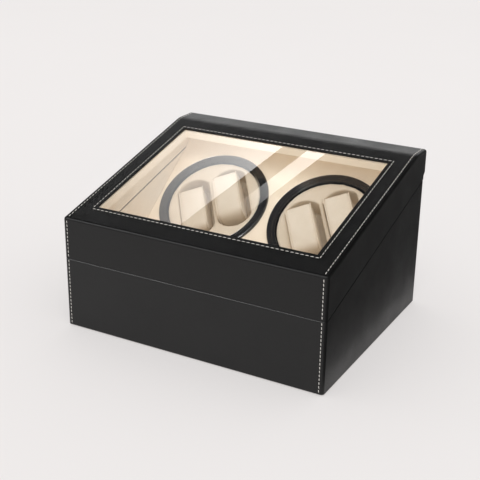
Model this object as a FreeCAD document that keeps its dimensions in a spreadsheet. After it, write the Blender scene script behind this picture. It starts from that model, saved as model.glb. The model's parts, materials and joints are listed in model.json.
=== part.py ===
import FreeCAD, Part
import Sketcher
import math
import operator
import os
from types import SimpleNamespace

# Watch winder box: a leather covered case with a hinged glass lid. Inside, an inclined deck carries
# two belt driven turntables with two pillows each, and a storage row with six pillows lies in front.
# Millimetres, +Z up, the front faces -Y, and the origin lies under the middle of the closed box.

SIDES = {"left": -1, "right": 1}
Vector = FreeCAD.Vector

# ---------------------------------------------------------------- driving dimensions

DIMENSIONS = {
    # the closed box, outside
    "width": 335, "depth": 280, "total_height": 200, "base_back_step": 5, "corner_radius": 3.5,
    # sheet and board thicknesses
    "felt": 1.5, "skin": 1, "lining": 1, "board": 8, "floor_board": 7, "top_board": 7.4,
    # the slanted seam between base and lid: its height at the front and its rise per millimetre
    "seam_front": 86, "seam_rise": 0.28, "seam_gap": 0.8, "rim_radius": 1.2,
    # the lid's top: height of its front edge, and the bend near the back
    "top_front": 137.2, "bend_back": 32, "bend_radius": 35,
    "lip_height": 174.8, "lip_depth": 6.8,
    # the window in the lid
    "window_width": 280, "window_front": 31, "window_length": 197, "glass": 3,
    "glass_overlap": 3.5, "retainer": 5, "retainer_inset": 1.5, "collar": 3, "lining_margin": 0.7,
    # the inclined deck and where the turntables sit on it
    "deck_tilt": 37, "deck_y": 50.2, "deck_z": 112.3, "deck_board": 6, "deck_front": -20,
    "deck_back": 124.3, "deck_width": 313.8, "turntable_x": 78, "deck_hole": 66.3,
    # bezel ring
    "ring_outer": 73, "ring_inner": 62.6, "ring_spigot": 66, "ring_height": 4, "ring_depth": 8,
    "ring_step": 0.9,
    # turntable: cup, pocket block and pillow pockets
    "cup_radius": 61.5, "cup_wall": 3.5, "cup_top": -2, "cup_floor": -30, "cup_back": -33,
    "pulley_back": -39.5, "pulley_radius": 46.5, "pocket_turn": 32, "pocket_spacing": 24,
    "pocket_width": 42.6, "pocket_length": 66, "pocket_end": 25, "pocket_floor": -27.5,
    # winder pillow and storage pillow
    "pillow_width": 34, "pillow_length": 70, "pillow_depth": 40, "small_pillow_depth": 31,
    "pillow_bottom": -26.5, "pillow_aside": -3.4, "pillow_down": -0.6, "pillow_round": 7,
    "pillow_edge": 3,
    "spare_width": 46, "spare_length": 92, "spare_height": 46, "spare_round": 16,
    # belt drive: pulley grooves, belt and the axle with its bush
    "belt_level": -36.3, "belt_radius": 1.5, "belt_play": 0.3, "groove_half": 1.8,
    "belt_big": 45, "belt_small": 8, "motor_offset": 60, "motor_drop": -6,
    "motor_pulley_radius": 9.5, "axle_radius": 4, "axle_thread": 3, "running_play": 0.05,
    "plate_front": -42, "plate_back": -45, "plate_reach": 57, "plate_motor_reach": 76,
    "post_x": 50, "post_y": 51.5, "post_radius": 4, "screw_radius": 1.6,
    "motor_radius": 12.5, "motor_back": -71, "spindle_radius": 1.5,
    # storage row
    "partition_front": -26, "partition": 5.8, "partition_top": 60.4, "divider": 2.5,
    "divider_top": 48, "slots": 6,
    # control bay in the back wall
    "bay_width": 104, "bay_low": 16, "bay_high": 58, "tray_inner": 129, "tray_face": 131,
    "tray_wall": 2, "control_z": 37, "board_y": 110, "circuit_board": 1.6,
    "switch_x": -36, "switch_width": 13, "switch_height": 19.4, "rocker_tilt": 10,
    "rocker_radius": 8.3, "rocker_y": 127.5, "knob_left_x": -6, "knob_right_x": 16, "jack_x": 38,
    # hinges
    "hinge_x": 105, "hinge_length": 50, "hinge_pin_y": 137.6, "knuckle_radius": 2.2,
    "pin_radius": 1, "leaf": 0.9, "leaf_depth": 10.5, "knuckle_play": 0.3,
}


class Size:
    """A length or an angle that carries its number and its spreadsheet expression together."""

    def __init__(self, value, text):
        self.value = value
        self.text = text

    def __add__(self, other):
        return combine(operator.add, "+", self, other)

    def __radd__(self, other):
        return combine(operator.add, "+", other, self)

    def __sub__(self, other):
        return combine(operator.sub, "-", self, other)

    def __rsub__(self, other):
        return combine(operator.sub, "-", other, self)

    def __mul__(self, other):
        return combine(operator.mul, "*", self, other)

    def __rmul__(self, other):
        return combine(operator.mul, "*", other, self)

    def __truediv__(self, other):
        return combine(operator.truediv, "/", self, other)

    def __rtruediv__(self, other):
        return combine(operator.truediv, "/", other, self)

    def __neg__(self):
        return combine(operator.sub, "-", 0, self)


def size(number):
    return number if isinstance(number, Size) else Size(float(number), repr(float(number)))


def combine(operation, sign, first, second):
    first, second = size(first), size(second)
    return Size(operation(first.value, second.value), f"({first.text} {sign} {second.text})")


def cosine(angle):
    return Size(math.cos(math.radians(angle.value)), f"cos({angle.text} * 1 deg)")


def sine(angle):
    return Size(math.sin(math.radians(angle.value)), f"sin({angle.text} * 1 deg)")


def root(number):
    return Size(math.sqrt(number.value), f"sqrt({number.text})")


def arc_tangent(ratio):
    """The angle in degrees whose tangent is the ratio."""
    return Size(math.degrees(math.atan(ratio.value)), f"(atan({ratio.text}) / 1 deg)")


D = SimpleNamespace(**{name: Size(float(value), "dims." + name) for name, value in DIMENSIONS.items()})

# ---------------------------------------------------------------- document and small helpers

doc = FreeCAD.newDocument("watch_winder_box")
nodes = {}


def write_sheet():
    sheet = doc.addObject("Spreadsheet::Sheet", "dims")
    for row, (name, value) in enumerate(DIMENSIONS.items(), start=1):
        sheet.set(f"A{row}", name)
        sheet.set(f"B{row}", str(value))
        sheet.setAlias(f"B{row}", name)
    doc.recompute()


def node(thing, name):
    """Names an object as one sub-part of the box."""
    thing.Label = name
    nodes[name] = thing
    return thing


def bind(thing, prop, length):
    length = size(length)
    thing.setExpression(prop, length.text)


def place(thing, x=0, y=0, z=0, axis=None, angle=0):
    """Puts an object at a bound position, turned about an axis by a bound angle."""
    x, y, z, angle = size(x), size(y), size(z), size(angle)
    turn = FreeCAD.Rotation(axis, angle.value) if axis else FreeCAD.Rotation()
    thing.Placement = FreeCAD.Placement(Vector(x.value, y.value, z.value), turn)
    for name, part in zip("xyz", (x, y, z)):
        thing.setExpression(f"Placement.Base.{name}", part.text)
    if axis:
        thing.setExpression("Placement.Rotation.Angle", angle.text)
    return thing


X_AXIS, Y_AXIS, Z_AXIS = Vector(1, 0, 0), Vector(0, 1, 0), Vector(0, 0, 1)


def box(name, x, y, z):
    """A block between two bound corners, given as (low, high) pairs."""
    block = doc.addObject("Part::Box", name)
    for prop, (low, high) in zip(("Length", "Width", "Height"), (x, y, z)):
        bind(block, prop, size(high) - low)
    return place(block, x[0], y[0], z[0])


def cylinder(name, radius, low, high, x=0, y=0):
    """An upright cylinder between two levels."""
    rod = doc.addObject("Part::Cylinder", name)
    bind(rod, "Radius", radius)
    bind(rod, "Height", size(high) - low)
    return place(rod, x, y, low)


def facing_back(thing, x, y, z):
    """Turns an object made along +Z so that it points to the back, along +Y."""
    return place(thing, x, y, z, X_AXIS, -90)


def cut(name, base, *tools):
    tool = tools[0] if len(tools) == 1 else fuse(name + "_tools", *tools)
    result = doc.addObject("Part::Cut", name)
    result.Base = base
    result.Tool = tool
    return result


def fuse(name, *shapes):
    result = doc.addObject("Part::MultiFuse", name)
    result.Shapes = list(shapes)
    result.Refine = True
    return result


def group(name, *shapes):
    """Separate solids that share one sub-part."""
    result = doc.addObject("Part::Compound", name)
    result.Links = list(shapes)
    return result


def new_body(name):
    return doc.addObject("PartDesign::Body", name)


def new_sketch(body, plane, name):
    sketch = body.newObject("Sketcher::SketchObject", name)
    origin_plane = next(item for item in body.Origin.OriginFeatures if item.Role == plane)
    sketch.AttachmentSupport = [(origin_plane, "")]
    sketch.MapMode = "FlatFace"
    return sketch


def draw_polygon(sketch, points):
    """Closed outline of straight lines whose corners are bound to the spreadsheet."""
    corners = [(size(x), size(y)) for x, y in points]
    spots = [Vector(x.value, y.value, 0) for x, y in corners]
    count = len(spots)
    for index in range(count):
        line = Part.LineSegment(spots[index], spots[(index + 1) % count])
        sketch.addGeometry(line, False)
    for index in range(count):
        sketch.addConstraint(Sketcher.Constraint("Coincident", index, 2, (index + 1) % count, 1))
    for index, corner in enumerate(corners):
        for kind, axis, part in zip(("DistanceX", "DistanceY"), (-2, -1), corner):
            if part.value == 0:
                sketch.addConstraint(Sketcher.Constraint("PointOnObject", index, 1, axis))
                continue
            number = sketch.addConstraint(Sketcher.Constraint(kind, -1, 1, index, 1, part.value))
            sketch.setExpression(f"Constraints[{number}]", part.text)


def slab(name, points, half_width):
    """A body whose side view in the YZ plane is the outline, as wide as twice half_width."""
    body = new_body(name)
    sketch = new_sketch(body, "YZ_Plane", name + "_outline")
    draw_polygon(sketch, points)
    pad = body.newObject("PartDesign::Pad", name + "_pad")
    pad.Profile = sketch
    pad.SideType = "Symmetric"
    bind(pad, "Length", size(half_width) * 2)
    return body


def turned(name, points):
    """A body of revolution about Z from an outline of (radius, level) corners."""
    body = new_body(name)
    sketch = new_sketch(body, "XZ_Plane", name + "_outline")
    draw_polygon(sketch, points)
    turn = body.newObject("PartDesign::Revolution", name + "_turn")
    turn.Profile = sketch
    turn.ReferenceAxis = (sketch, ["V_Axis"])
    turn.Angle = 360
    return body


def round_edges(body, radius, wanted):
    """Fillets the edges of the body's last feature that pass the test."""
    doc.recompute()
    last = body.Tip
    names = [f"Edge{n}" for n, edge in enumerate(last.Shape.Edges, start=1) if wanted(edge)]
    fillet = body.newObject("PartDesign::Fillet", body.Name + "_round")
    fillet.Base = (last, names)
    bind(fillet, "Radius", radius)
    return body


def near(first, second):
    return abs(first - second) < 0.01


def edge_box(edge):
    return edge.BoundBox


def is_upright(edge):
    ends = edge_box(edge)
    return ends.ZLength > 0.5 and ends.XLength < 0.01 and ends.YLength < 0.01


def is_crosswise(edge, y, z):
    """An edge along X at the given place in the side view."""
    ends = edge_box(edge)
    return near(ends.YMin, y) and near(ends.ZMin, z) and ends.XLength > 1


# ---------------------------------------------------------------- shared lines of the case

FRONT = -D.depth / 2
BACK = D.depth / 2
BASE_BACK = BACK - D.base_back_step
HALF_WIDTH = D.width / 2
CORE_FRONT = FRONT + D.skin
CORE_HALF = HALF_WIDTH - D.skin
CORE_BACK = BASE_BACK - D.skin
ROOM_FRONT = CORE_FRONT + D.board
ROOM_BACK = CORE_BACK - D.board
ROOM_HALF = CORE_HALF - D.board
INNER_FRONT = ROOM_FRONT + D.lining
INNER_BACK = ROOM_BACK - D.lining
INNER_HALF = ROOM_HALF - D.lining
FLOOR = D.felt + D.floor_board
SHELF = FLOOR + D.lining
TOP_UNDER = D.skin + D.top_board
GLASS_UNDER = D.skin + D.glass
THROUGH_TOP = 30

TOP_SLOPE = (D.total_height - D.top_front) / (D.depth - D.bend_back)
TOP_ANGLE = arc_tangent(TOP_SLOPE)
SLANT = root(1 + TOP_SLOPE * TOP_SLOPE)
BEND_Y = BACK - D.bend_back


def base_top(y, lower=0):
    """Height of the base's slanted rim at depth y."""
    return D.seam_front + D.seam_rise * (y - FRONT) - lower


def lid_bottom(y, raised=0):
    return base_top(y) + D.seam_gap + raised


def lid_line(y, depth):
    """Height of the sloping top at y, measured a given thickness under its surface."""
    return D.top_front + TOP_SLOPE * (y - FRONT) - SLANT * depth


def bend_point(depth):
    """Corner where the sloping top turns level, a given thickness under the surface."""
    return BEND_Y + (SLANT - 1) * depth / TOP_SLOPE, D.total_height - depth


def room_outline(front, back, depth, raised=0):
    """Side view of the space under the lid's top, closed at the lid's lower rim."""
    return [(front, lid_bottom(front, raised)), (front, lid_line(front, depth)), bend_point(depth),
            (back, D.total_height - depth), (back, lid_bottom(back, raised))]


def hull_outline(inset, raised):
    """Side view of the lid's outside, with the undercut lip at its back."""
    lip = (math.sqrt(2) - 1) * inset
    neck = BACK - D.lip_depth - inset
    front, back = FRONT + inset, BACK - inset
    return [(front, lid_bottom(front, raised)), (front, lid_line(front, inset)), bend_point(inset),
            (back, D.total_height - inset), (back, D.lip_height + lip),
            (neck, D.lip_height - D.lip_depth + lip), (neck, lid_bottom(neck, raised))]


# ---------------------------------------------------------------- base of the case


def round_upright_corners(body, radius, half_width):
    return round_edges(body, radius,
                       lambda edge: is_upright(edge) and near(abs(edge_box(edge).XMin), half_width.value))


def bay_tool(name):
    """The space for the controls, cut through the back wall."""
    return box(name, (-D.bay_width / 2, D.bay_width / 2), (INNER_BACK - 1, BACK),
               (D.bay_low, D.bay_high))


def make_base_boards():
    felt_edge = 3
    node(box("underside_felt", (-HALF_WIDTH + felt_edge, HALF_WIDTH - felt_edge),
             (FRONT + felt_edge, BASE_BACK - felt_edge), (0, D.felt)), "underside_felt")
    node(box("base_bottom_panel", (-ROOM_HALF, ROOM_HALF), (ROOM_FRONT, ROOM_BACK),
             (D.felt, FLOOR)), "base_bottom_panel")
    front = [(CORE_FRONT, D.felt), (CORE_FRONT, base_top(CORE_FRONT, D.skin)),
             (ROOM_FRONT, base_top(ROOM_FRONT, D.skin)), (ROOM_FRONT, D.felt)]
    node(slab("base_front_panel", front, ROOM_HALF), "base_front_panel")
    back = [(ROOM_BACK, D.felt), (ROOM_BACK, base_top(ROOM_BACK, D.skin)),
            (CORE_BACK, base_top(CORE_BACK, D.skin)), (CORE_BACK, D.felt)]
    blank = slab("base_back_blank", back, ROOM_HALF)
    node(cut("base_back_panel", blank, bay_tool("back_panel_bay")), "base_back_panel")
    side = [(CORE_FRONT, D.felt), (CORE_FRONT, base_top(CORE_FRONT, D.skin)),
            (CORE_BACK, base_top(CORE_BACK, D.skin)), (CORE_BACK, D.felt)]
    for name, sign in SIDES.items():
        make_side_panel(f"base_side_panel_{name}", side, sign)


def make_side_panel(name, outline, sign):
    """A side wall board whose two outer upright edges are rounded under the leather."""
    panel = slab(name, outline, D.board / 2)
    round_edges(panel, D.corner_radius - D.skin,
                lambda edge: is_upright(edge) and near(edge_box(edge).XMin, sign * D.board.value / 2))
    node(place(panel, sign * (CORE_HALF - D.board / 2)), name)


def make_base_cover():
    """Leather over the walls, turned in over the slanted rim."""
    outside = [(FRONT, D.felt), (FRONT, base_top(FRONT)), (BASE_BACK, base_top(BASE_BACK)),
               (BASE_BACK, D.felt)]
    outer = slab("base_cover_outside", outside, HALF_WIDTH)
    round_upright_corners(outer, D.corner_radius, HALF_WIDTH)
    round_edges(outer, D.rim_radius, on_rim)
    core = [(CORE_FRONT, D.felt), (CORE_FRONT, base_top(CORE_FRONT, D.skin)),
            (CORE_BACK, base_top(CORE_BACK, D.skin)), (CORE_BACK, D.felt)]
    inner = slab("base_cover_inside", core, CORE_HALF)
    round_upright_corners(inner, D.corner_radius - D.skin, CORE_HALF)
    room = box("base_cover_room", (-ROOM_HALF, ROOM_HALF), (ROOM_FRONT, ROOM_BACK),
               (0, D.total_height))
    mortises = [hinge_mortise(f"base_mortise_{name}", sign, -1) for name, sign in SIDES.items()]
    node(cut("base_leather_cover", outer, inner, room, bay_tool("cover_bay"), *mortises),
         "base_leather_cover")


def on_rim(edge):
    """True for the edges that stay on the plane of the slanted rim."""
    return all(near(corner.Point.z, base_top(size(corner.Point.y)).value) for corner in edge.Vertexes)


def make_base_lining():
    """Lining of the base, ending just under the rim so that the turned-in leather shows."""
    outside = [(ROOM_FRONT, FLOOR), (ROOM_FRONT, base_top(ROOM_FRONT, D.lining_margin)),
               (ROOM_BACK, base_top(ROOM_BACK, D.lining_margin)), (ROOM_BACK, FLOOR)]
    inside = [(INNER_FRONT, FLOOR + D.lining), (INNER_FRONT, D.total_height),
              (INNER_BACK, D.total_height), (INNER_BACK, FLOOR + D.lining)]
    outer = slab("base_lining_outside", outside, ROOM_HALF)
    inner = slab("base_lining_inside", inside, INNER_HALF)
    node(cut("base_lining", outer, inner, bay_tool("lining_bay")), "base_lining")


# ---------------------------------------------------------------- storage row

SLOT_WIDTH = (INNER_HALF * 2 - D.divider * (D.slots - 1)) / D.slots


def make_storage_row():
    partition_back = D.partition_front + D.partition
    node(box("storage_partition", (-INNER_HALF, INNER_HALF), (D.partition_front, partition_back),
             (SHELF, D.partition_top)), "storage_partition")
    walls = []
    for number in range(1, int(D.slots.value)):
        left = -INNER_HALF + SLOT_WIDTH * number + D.divider * (number - 1)
        walls.append(box(f"divider_{number}", (left, left + D.divider),
                         (INNER_FRONT, D.partition_front), (SHELF, D.divider_top)))
    node(group("storage_dividers", *walls), "storage_dividers")
    middle_y = (INNER_FRONT + D.partition_front) / 2
    for number in range(int(D.slots.value)):
        centre = -INNER_HALF + SLOT_WIDTH * (number + 0.5) + D.divider * number
        pillow = make_pillow(f"storage_pillow_{number + 1}", D.spare_width, D.spare_length,
                             D.spare_height, D.spare_round)
        node(place(pillow, centre, middle_y, SHELF), f"storage_pillow_{number + 1}")


def make_pillow(name, width, length, height, end_radius):
    """A plain cushion that stands on z = 0: rounded ends in the side view, soft side edges."""
    outline = [(-length / 2, 0), (-length / 2, height), (length / 2, height), (length / 2, 0)]
    body = slab(name, outline, width / 2)
    round_edges(body, end_radius, lambda edge: edge_box(edge).XLength > 1)
    round_edges(body, D.pillow_edge,
                lambda edge: near(abs(edge_box(edge).XMin), width.value / 2)
                and edge_box(edge).XLength < 0.01)
    return body


# ---------------------------------------------------------------- inclined deck


def on_deck(thing, x=0):
    """Moves an object made about Z onto the deck, with its Z along the deck's outward normal."""
    return place(thing, x, D.deck_y, D.deck_z, X_AXIS, D.deck_tilt)


DECK_RISE = sine(D.deck_tilt) / cosine(D.deck_tilt)


def deck_line(y, depth):
    return D.deck_z + DECK_RISE * (y - D.deck_y) - depth / cosine(D.deck_tilt)


def make_deck():
    outline = [(D.deck_front, deck_line(D.deck_front, 0)), (D.deck_back, deck_line(D.deck_back, 0)),
               (D.deck_back, deck_line(D.deck_back, D.deck_board)),
               (D.deck_front, deck_line(D.deck_front, D.deck_board))]
    blank = slab("deck_blank", outline, D.deck_width / 2)
    tools = []
    for name, sign in SIDES.items():
        hole = cylinder(f"deck_hole_{name}", D.deck_hole, -2 * D.deck_board, D.deck_board)
        pilots = [cylinder(f"deck_pilot_{name}_{n}", D.screw_radius + 0.1, -2 * D.deck_board, -1.5, x, y)
                  for n, (x, y) in enumerate(post_places())]
        tools.append(on_deck(fuse(f"deck_tool_{name}", hole, *pilots), sign * D.turntable_x))
    node(cut("winder_deck", blank, *tools), "winder_deck")
    rail = 8
    rear_top = deck_line(INNER_BACK - rail, D.deck_board)
    rear = box("rear_rail", (-INNER_HALF, INNER_HALF), (INNER_BACK - rail, INNER_BACK),
               (rear_top - rail, rear_top))
    front_y = D.partition_front + D.partition
    front_top = deck_line(D.deck_front, D.deck_board)
    front = box("front_rail", (-INNER_HALF, INNER_HALF), (front_y, front_y + rail),
                (front_top - rail, front_top))
    node(group("deck_rails", front, rear), "deck_rails")


def make_bezel_ring(name, sign):
    """Glossy ring around the turntable, with a spigot that centres it in the deck's hole."""
    inner, outer, top, step = D.ring_inner, D.ring_outer, D.ring_height, D.ring_step
    ledge, slope = inner + 3.2, 0.7
    outline = [(inner, -D.ring_depth), (D.ring_spigot, -D.ring_depth), (D.ring_spigot, 0),
               (outer, 0), (outer, top), (ledge + slope, top), (ledge, top - step), (inner, top - step)]
    ring = turned(f"bezel_ring_{name}", outline)
    for radius, edge_radius in ((outer, 1.8), (ledge + slope, 0.4), (inner, 0.6)):
        round_edges(ring, edge_radius, lambda edge: edge_box(edge).ZMin > (top - step).value - 0.01
                    and near(edge_box(edge).XMax, size(radius).value))
    node(on_deck(ring, sign * D.turntable_x), f"bezel_ring_{name}")


# ---------------------------------------------------------------- turntable and its pillows


def make_cup(name, sign):
    """Moulded cup with a pulley rim and a threaded boss on its back."""
    boss = 9
    bore = D.axle_thread + D.running_play
    rim_inner = D.pulley_radius - 8
    groove = D.belt_big - D.belt_radius - D.belt_play
    low, high = D.belt_level - D.groove_half, D.belt_level + D.groove_half
    outline = [(bore, BOSS_BACK), (boss, BOSS_BACK), (boss, D.cup_back), (rim_inner, D.cup_back),
               (rim_inner, D.pulley_back), (D.pulley_radius, D.pulley_back), (D.pulley_radius, low),
               (groove, low), (groove, high), (D.pulley_radius, high), (D.pulley_radius, D.cup_back),
               (D.cup_radius, D.cup_back), (D.cup_radius, D.cup_top),
               (D.cup_radius - D.cup_wall, D.cup_top), (D.cup_radius - D.cup_wall, D.cup_floor),
               (bore, D.cup_floor)]
    cup = turned(f"turntable_cup_{name}", outline)
    node(on_deck(cup, sign * D.turntable_x), f"turntable_cup_{name}")


def pocket_tool(name, sign):
    """One pillow pocket: straight sides and rounded ends."""
    half, straight = D.pocket_width / 2, D.pocket_length / 2
    sunk = root(D.pocket_end * D.pocket_end - half * half)
    above = 2
    middle = box(name + "_middle", (-half, half), (-straight, straight), (D.pocket_floor, above))
    ends = []
    for end in (-1, 1):
        bar = cylinder(f"{name}_end{end + 1}", D.pocket_end, D.pocket_floor, above, 0,
                       end * (straight - sunk))
        ends.append(bar)
    trim = box(name + "_trim", (-half, half), (-2 * straight, 2 * straight), (D.pocket_floor, above))
    common = doc.addObject("Part::Common", name + "_outline")
    common.Base = fuse(name + "_round", middle, *ends)
    common.Tool = trim
    return turn_pocket(common, sign)


def turn_pocket(thing, sign, aside=0, along=0, level=0):
    """Places a pocket or pillow beside the turntable's middle, turned with the turntable."""
    across = sign * D.pocket_spacing + aside
    return place(thing, across * cosine(D.pocket_turn) - along * sine(D.pocket_turn),
                 across * sine(D.pocket_turn) + along * cosine(D.pocket_turn), level,
                 Z_AXIS, D.pocket_turn)


def make_pocket_block(name, sign):
    """Covered foam block that fills the cup, with a thin flange over the cup's wall."""
    play = 0.2
    inner = D.cup_radius - D.cup_wall - play
    outline = [(0, D.cup_floor), (inner, D.cup_floor), (inner, D.cup_top),
               (D.cup_radius, D.cup_top), (D.cup_radius, 0), (0, 0)]
    blank = turned(f"pocket_block_blank_{name}", outline)
    pockets = [pocket_tool(f"pocket_{name}_{end}", place_sign) for end, place_sign in SIDES.items()]
    block = cut(f"pocket_block_{name}", blank, *pockets)
    node(on_deck(block, sign * D.turntable_x), f"pocket_block_{name}")


def make_winder_pillows(name, sign):
    """Two cushions per turntable, each one against the left side of its pocket."""
    for end, end_sign in SIDES.items():
        label = f"winder_pillow_{name}_{end}"
        depth = D.small_pillow_depth if (name, end) == ("left", "left") else D.pillow_depth
        pillow = make_pillow(label + "_body", D.pillow_width, D.pillow_length, depth, D.pillow_round)
        turn_pocket(pillow, end_sign, D.pillow_aside, D.pillow_down, D.pillow_bottom)
        node(on_deck(group(label, pillow), sign * D.turntable_x), label)


# ---------------------------------------------------------------- belt drive

BOSS_BACK = D.pulley_back - 1.5
BUSH_BACK = D.plate_back - 4
BUSH_RADIUS = 6


def make_axle_screw(name, sign):
    """Shoulder screw: thread in the cup's boss, shoulder in the bush, head behind it."""
    head, head_back = 7, BUSH_BACK - 3.8
    outline = [(0, head_back), (head, head_back), (head, BUSH_BACK - 0.3),
               (D.axle_radius, BUSH_BACK - 0.3), (D.axle_radius, BOSS_BACK),
               (D.axle_thread, BOSS_BACK), (D.axle_thread, D.cup_floor - 0.5),
               (0, D.cup_floor - 0.5)]
    screw = turned(f"axle_screw_{name}", outline)
    node(on_deck(screw, sign * D.turntable_x), f"axle_screw_{name}")


def make_axle_bushes():
    bushes = []
    for name, sign in SIDES.items():
        inner, flange, flange_top = D.axle_radius + D.running_play, 8, D.plate_front + 0.7
        outline = [(inner, BUSH_BACK), (BUSH_RADIUS, BUSH_BACK), (BUSH_RADIUS, D.plate_front),
                   (flange, D.plate_front), (flange, flange_top), (inner, flange_top)]
        bushes.append(on_deck(turned(f"axle_bush_{name}", outline), sign * D.turntable_x))
    node(group("axle_bushes", *bushes), "axle_bushes")


def post_places():
    return [(x * D.post_x, y * D.post_y) for x in (-1, 1) for y in (-1, 1)]


def make_drive_plate(name, sign):
    """Moulded plate behind the turntable with four posts that reach up to the deck."""
    boss_radius, motor_hole_radius = 10, 5.3
    inward, outward = -sign * D.plate_motor_reach, sign * D.plate_reach
    low, high = (inward, outward) if sign > 0 else (outward, inward)
    plate = box(f"plate_{name}", (low, high), (-D.plate_reach, D.plate_reach),
                (D.plate_back, D.plate_front))
    boss = cylinder(f"plate_boss_{name}", boss_radius, BUSH_BACK + 1, D.plate_back)
    posts = [cylinder(f"plate_post_{name}_{n}", D.post_radius, D.plate_front, -D.deck_board, x, y)
             for n, (x, y) in enumerate(post_places())]
    bush_hole = cylinder(f"bush_hole_{name}", BUSH_RADIUS, BUSH_BACK, D.plate_front + 1)
    motor_hole = cylinder(f"motor_hole_{name}", motor_hole_radius, D.plate_back - 1, D.plate_front + 1,
                          -sign * D.motor_offset, D.motor_drop)
    screw_holes = [cylinder(f"screw_hole_{name}_{n}", D.screw_radius + 0.15, D.plate_back - 1, 0, x, y)
                   for n, (x, y) in enumerate(post_places())]
    solid = fuse(f"plate_solid_{name}", plate, boss, *posts)
    result = cut(f"drive_plate_{name}", solid, bush_hole, motor_hole, *screw_holes)
    node(on_deck(result, sign * D.turntable_x), f"drive_plate_{name}")


def make_drive_plate_screws():
    """Eight pan head screws that hold the drive plates under the deck."""
    head, head_height, tip = 3.2, 2.4, -2.5
    screws = []
    for side, sign in SIDES.items():
        places = []
        for number, (x, y) in enumerate(post_places()):
            outline = [(0, D.plate_back - head_height), (head - 1, D.plate_back - head_height),
                       (head, D.plate_back - 1), (head, D.plate_back), (D.screw_radius, D.plate_back),
                       (D.screw_radius, tip - 1), (0, tip)]
            places.append(place(turned(f"plate_screw_{side}_{number}", outline), x, y))
        screws.append(on_deck(group(f"plate_screws_{side}", *places), sign * D.turntable_x))
    node(group("drive_plate_screws", *screws), "drive_plate_screws")


TAB_LENGTH = 4


def make_motor(name, sign):
    """Round gear motor with a front boss in the drive plate and two terminal tabs."""
    gearbox_back, can = D.plate_back - 11, D.motor_radius - 1.5
    bore = D.spindle_radius + D.running_play
    outline = [(0, D.motor_back), (can, D.motor_back), (can, gearbox_back),
               (D.motor_radius, gearbox_back), (D.motor_radius, D.plate_back),
               (5, D.plate_back), (5, D.plate_front - 0.5), (bore, D.plate_front - 0.5),
               (bore, gearbox_back), (0, gearbox_back)]
    motor = turned(f"motor_body_{name}", outline)
    half_width, half_thick, aside = 1.5, 0.4, 6
    tabs = [box(f"motor_tab_{name}_{n}", (x - half_width, x + half_width), (-half_thick, half_thick),
                (D.motor_back - TAB_LENGTH, D.motor_back + 1)) for n, x in enumerate((-aside, aside))]
    both = fuse(f"motor_local_{name}", motor, *tabs)
    place(both, -sign * D.motor_offset, D.motor_drop)
    node(on_deck(group(f"gear_motor_{name}", both), sign * D.turntable_x), f"gear_motor_{name}")


def make_motor_pulley(name, sign):
    """Small grooved pulley moulded on its spindle, which turns in the gear motor."""
    low, high = D.belt_level - D.groove_half, D.belt_level + D.groove_half
    groove = D.belt_small - D.belt_radius - D.belt_play
    top, bottom = high + 0.8, low - 0.8
    outline = [(0, D.plate_back - 10), (D.spindle_radius, D.plate_back - 10),
               (D.spindle_radius, bottom), (D.motor_pulley_radius, bottom),
               (D.motor_pulley_radius, low), (groove, low), (groove, high),
               (D.motor_pulley_radius, high), (D.motor_pulley_radius, top), (0, top)]
    pulley = turned(f"motor_pulley_body_{name}", outline)
    place(pulley, -sign * D.motor_offset, D.motor_drop)
    node(on_deck(group(f"motor_pulley_{name}", pulley), sign * D.turntable_x), f"motor_pulley_{name}")


def belt_shape(sign):
    """Round belt: two arcs on the pulleys' pitch circles and the two straight runs between them."""
    big, small = D.belt_big.value, D.belt_small.value
    apart = Vector(-sign * D.motor_offset.value, D.motor_drop.value, 0)
    level = Vector(0, 0, D.belt_level.value)
    along = Vector(apart).normalize()
    across = Vector(-along.y, along.x, 0)
    lean = (big - small) / apart.Length
    rise = math.sqrt(1 - lean * lean)
    starts, ends = [], []
    for turn in (1, -1):
        radial = along * lean + across * (turn * rise)
        starts.append(level + radial * big)
        ends.append(level + apart + radial * small)
    path = Part.Wire([Part.Arc(starts[0], level - along * big, starts[1]).toShape(),
                      Part.LineSegment(starts[1], ends[1]).toShape(),
                      Part.Arc(ends[1], level + apart + along * small, ends[0]).toShape(),
                      Part.LineSegment(ends[0], starts[0]).toShape()])
    direction = starts[1] - ends[1]
    section = Part.Wire(Part.Circle(ends[1], direction, D.belt_radius.value).toShape())
    return path.makePipeShell([section], True, False), path.Length


def make_drive_belts():
    belts = []
    for name, sign in SIDES.items():
        shape, length = belt_shape(sign)
        expected = math.pi * D.belt_radius.value ** 2 * length
        if abs(shape.Volume - expected) > 0.01 * expected:
            raise RuntimeError(f"belt {name} has volume {shape.Volume:.0f}, not {expected:.0f}")
        belt = doc.addObject("Part::Feature", f"belt_{name}")
        belt.Shape = shape
        belts.append(on_deck(belt, sign * D.turntable_x))
    node(group("drive_belts", *belts), "drive_belts")


# ---------------------------------------------------------------- controls in the back wall

BAY_HALF = D.bay_width / 2


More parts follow.
